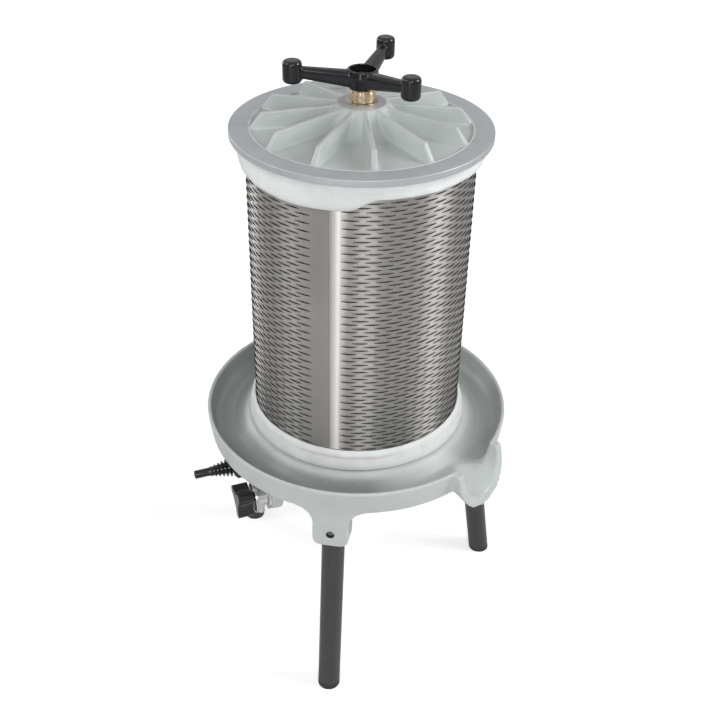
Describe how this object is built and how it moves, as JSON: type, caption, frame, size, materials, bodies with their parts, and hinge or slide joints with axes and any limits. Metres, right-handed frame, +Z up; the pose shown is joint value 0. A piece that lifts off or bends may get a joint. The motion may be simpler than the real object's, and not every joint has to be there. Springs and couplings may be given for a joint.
{
  "type": "bladder fruit press",
  "caption": "Upright fruit press: slit steel cage with cloth under a ribbed lid, bladder inside, on a spouted tray with tube legs, hose nozzle and tap.",
  "frame": {"origin": "on the floor plane below the press axis", "axes": "+Z up along the press axis, -Y towards the pouring spout, legs at 90, -32 and -149.4 degrees from +X"},
  "size_m": [0.3852, 0.419, 0.7631],
  "materials": {
    "cast_paint": "cast aluminium with pale grey-green baked paint, satin",
    "leg_paint": "dark grey powder coat, satin",
    "black_plastic": "black moulded plastic, glossy",
    "foot_plastic": "black moulded plastic",
    "stainless": "brushed stainless sheet",
    "zinc_steel": "zinc-plated steel",
    "chrome": "polished chrome",
    "brass": "turned brass, polished",
    "fitting_brass": "rough cast brass",
    "rubber": "black rubber",
    "cloth": "white woven press cloth"
  },
  "bodies": {
    "base": {"tray": "cast_paint", "leg_set_screws": "zinc_steel", "inlet_manifold": "fitting_brass", "manifold_gasket": "rubber", "manifold_bolts": "zinc_steel", "centre_column": "zinc_steel", "column_washer": "zinc_steel", "column_nut": "zinc_steel", "bladder": "rubber", "bladder_base_ring": "stainless", "bladder_ring_screws": "zinc_steel", "bladder_top_cap": "stainless", "bladder_top_nut": "zinc_steel", "inlet_pipe": "zinc_steel", "pipe_tee": "fitting_brass", "nozzle_pipe": "zinc_steel", "nozzle_nut": "black_plastic", "hose_nozzle": "black_plastic", "tap_pipe": "zinc_steel", "pipe_elbow": "fitting_brass", "tap_lock_nut": "chrome", "tap_body": "chrome", "tap_bonnet": "chrome", "leg_front_left": "leg_paint", "foot_front_left": "foot_plastic", "leg_front_right": "leg_paint", "foot_front_right": "foot_plastic", "leg_rear": "leg_paint", "foot_rear": "foot_plastic"},
    "cage": {"cage": "stainless", "press_cloth": "cloth", "cloth_drawstring": "cloth"},
    "lid": {"lid": "cast_paint"},
    "washer": {"thrust_washer": "zinc_steel"},
    "handle": {"brass_nut": "brass", "star_handle": "black_plastic"},
    "tap_handle": {"tap_spindle": "zinc_steel", "tap_knob": "black_plastic", "tap_knob_screw": "zinc_steel"}
  },
  "joints": [
    {"name": "cage_lift", "type": "slide", "parent": "base", "child": "cage", "axis": [0, 0, 1], "range_m": [0, 0.43]},
    {"name": "lid_lift", "type": "slide", "parent": "cage", "child": "lid", "axis": [0, 0, 1], "range_m": [0, 0.15]},
    {"name": "handle_rise", "type": "slide", "parent": "lid", "child": "washer", "axis": [0, 0, 1], "range_m": [0, 0.0241]},
    {"name": "handle_spin", "type": "hinge", "parent": "washer", "child": "handle", "pos_m": [0, 0, 0.73], "axis": [0, 0, 1], "range_deg": [0, 2880]},
    {"name": "tap_turn", "type": "hinge", "parent": "base", "child": "tap_handle", "pos_m": [-0.17056, 0.02457, 0.252], "axis": [-0.866, 0.5, 0], "range_deg": [0, 900]}
  ],
  "couplings": [
    {"joint": "handle_rise", "follows": "handle_spin", "m_per_rad": 0.00047746}
  ]
}
